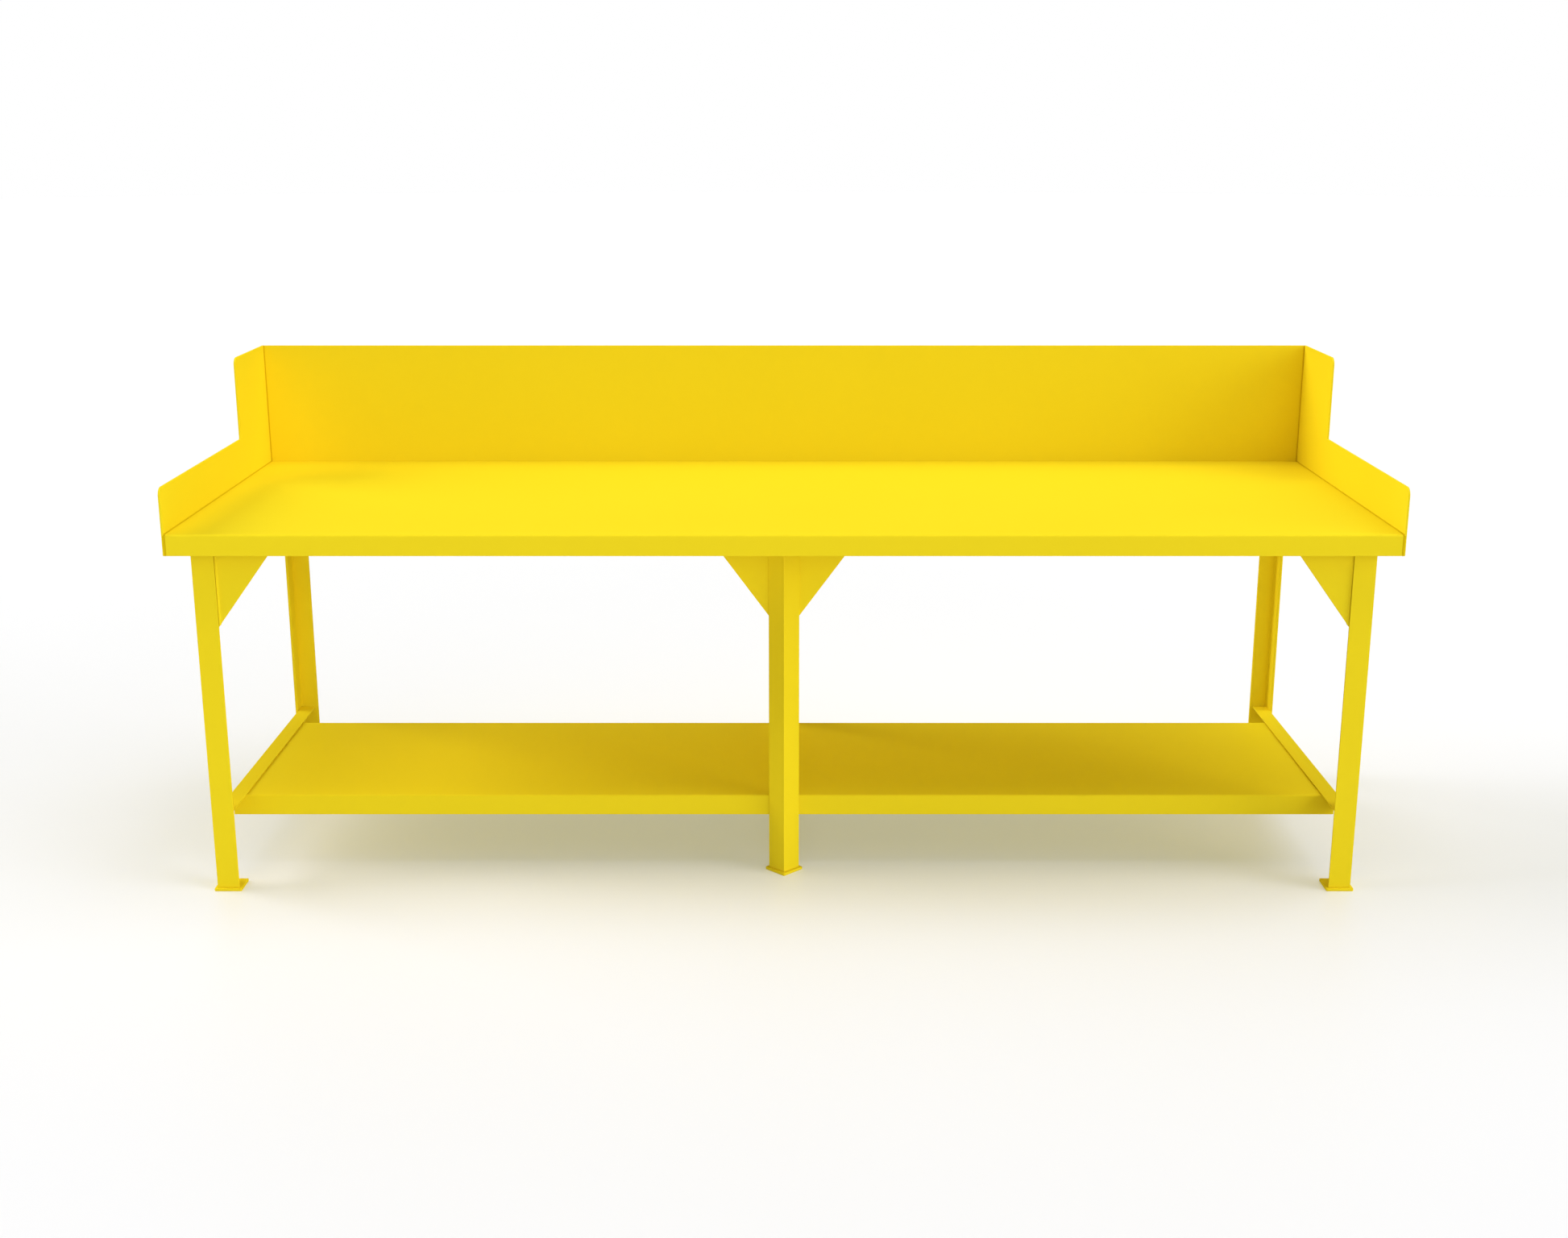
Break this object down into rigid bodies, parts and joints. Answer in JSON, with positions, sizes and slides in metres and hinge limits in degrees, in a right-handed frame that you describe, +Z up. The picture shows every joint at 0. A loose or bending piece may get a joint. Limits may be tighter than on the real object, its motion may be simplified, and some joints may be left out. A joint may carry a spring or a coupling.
{
  "type": "shop table",
  "caption": "Welded steel shop table: worktop with a folded front lip, tall back guard and stepped end guards, angle legs with gussets and foot pads, and a lower shelf.",
  "frame": {"origin": "on the floor, under the middle of the table's bounding box", "axes": "+Z up; the front faces -Y; +X runs along the table to its right-hand end seen from the front"},
  "size_m": [2.7432, 0.9144, 1.1709],
  "materials": {
    "yellow_paint": "bright yellow powder coat, semi-gloss, over welded steel"
  },
  "bodies": {
    "root": {"worktop": "yellow_paint", "back_guard": "yellow_paint", "left_end_guard": "yellow_paint", "right_end_guard": "yellow_paint", "front_left_leg": "yellow_paint", "front_right_leg": "yellow_paint", "rear_left_leg": "yellow_paint", "rear_right_leg": "yellow_paint", "front_centre_leg": "yellow_paint", "rear_centre_leg": "yellow_paint", "front_left_gusset": "yellow_paint", "front_right_gusset": "yellow_paint", "rear_left_gusset": "yellow_paint", "rear_right_gusset": "yellow_paint", "front_centre_left_gusset": "yellow_paint", "front_centre_right_gusset": "yellow_paint", "rear_centre_left_gusset": "yellow_paint", "rear_centre_right_gusset": "yellow_paint", "left_end_rail": "yellow_paint", "right_end_rail": "yellow_paint", "lower_shelf": "yellow_paint", "front_left_foot_pad": "yellow_paint", "front_right_foot_pad": "yellow_paint", "front_centre_foot_pad": "yellow_paint", "rear_left_foot_pad": "yellow_paint", "rear_right_foot_pad": "yellow_paint", "rear_centre_foot_pad": "yellow_paint", "left_stiffener": "yellow_paint", "right_stiffener": "yellow_paint"}
  },
  "joints": []
}
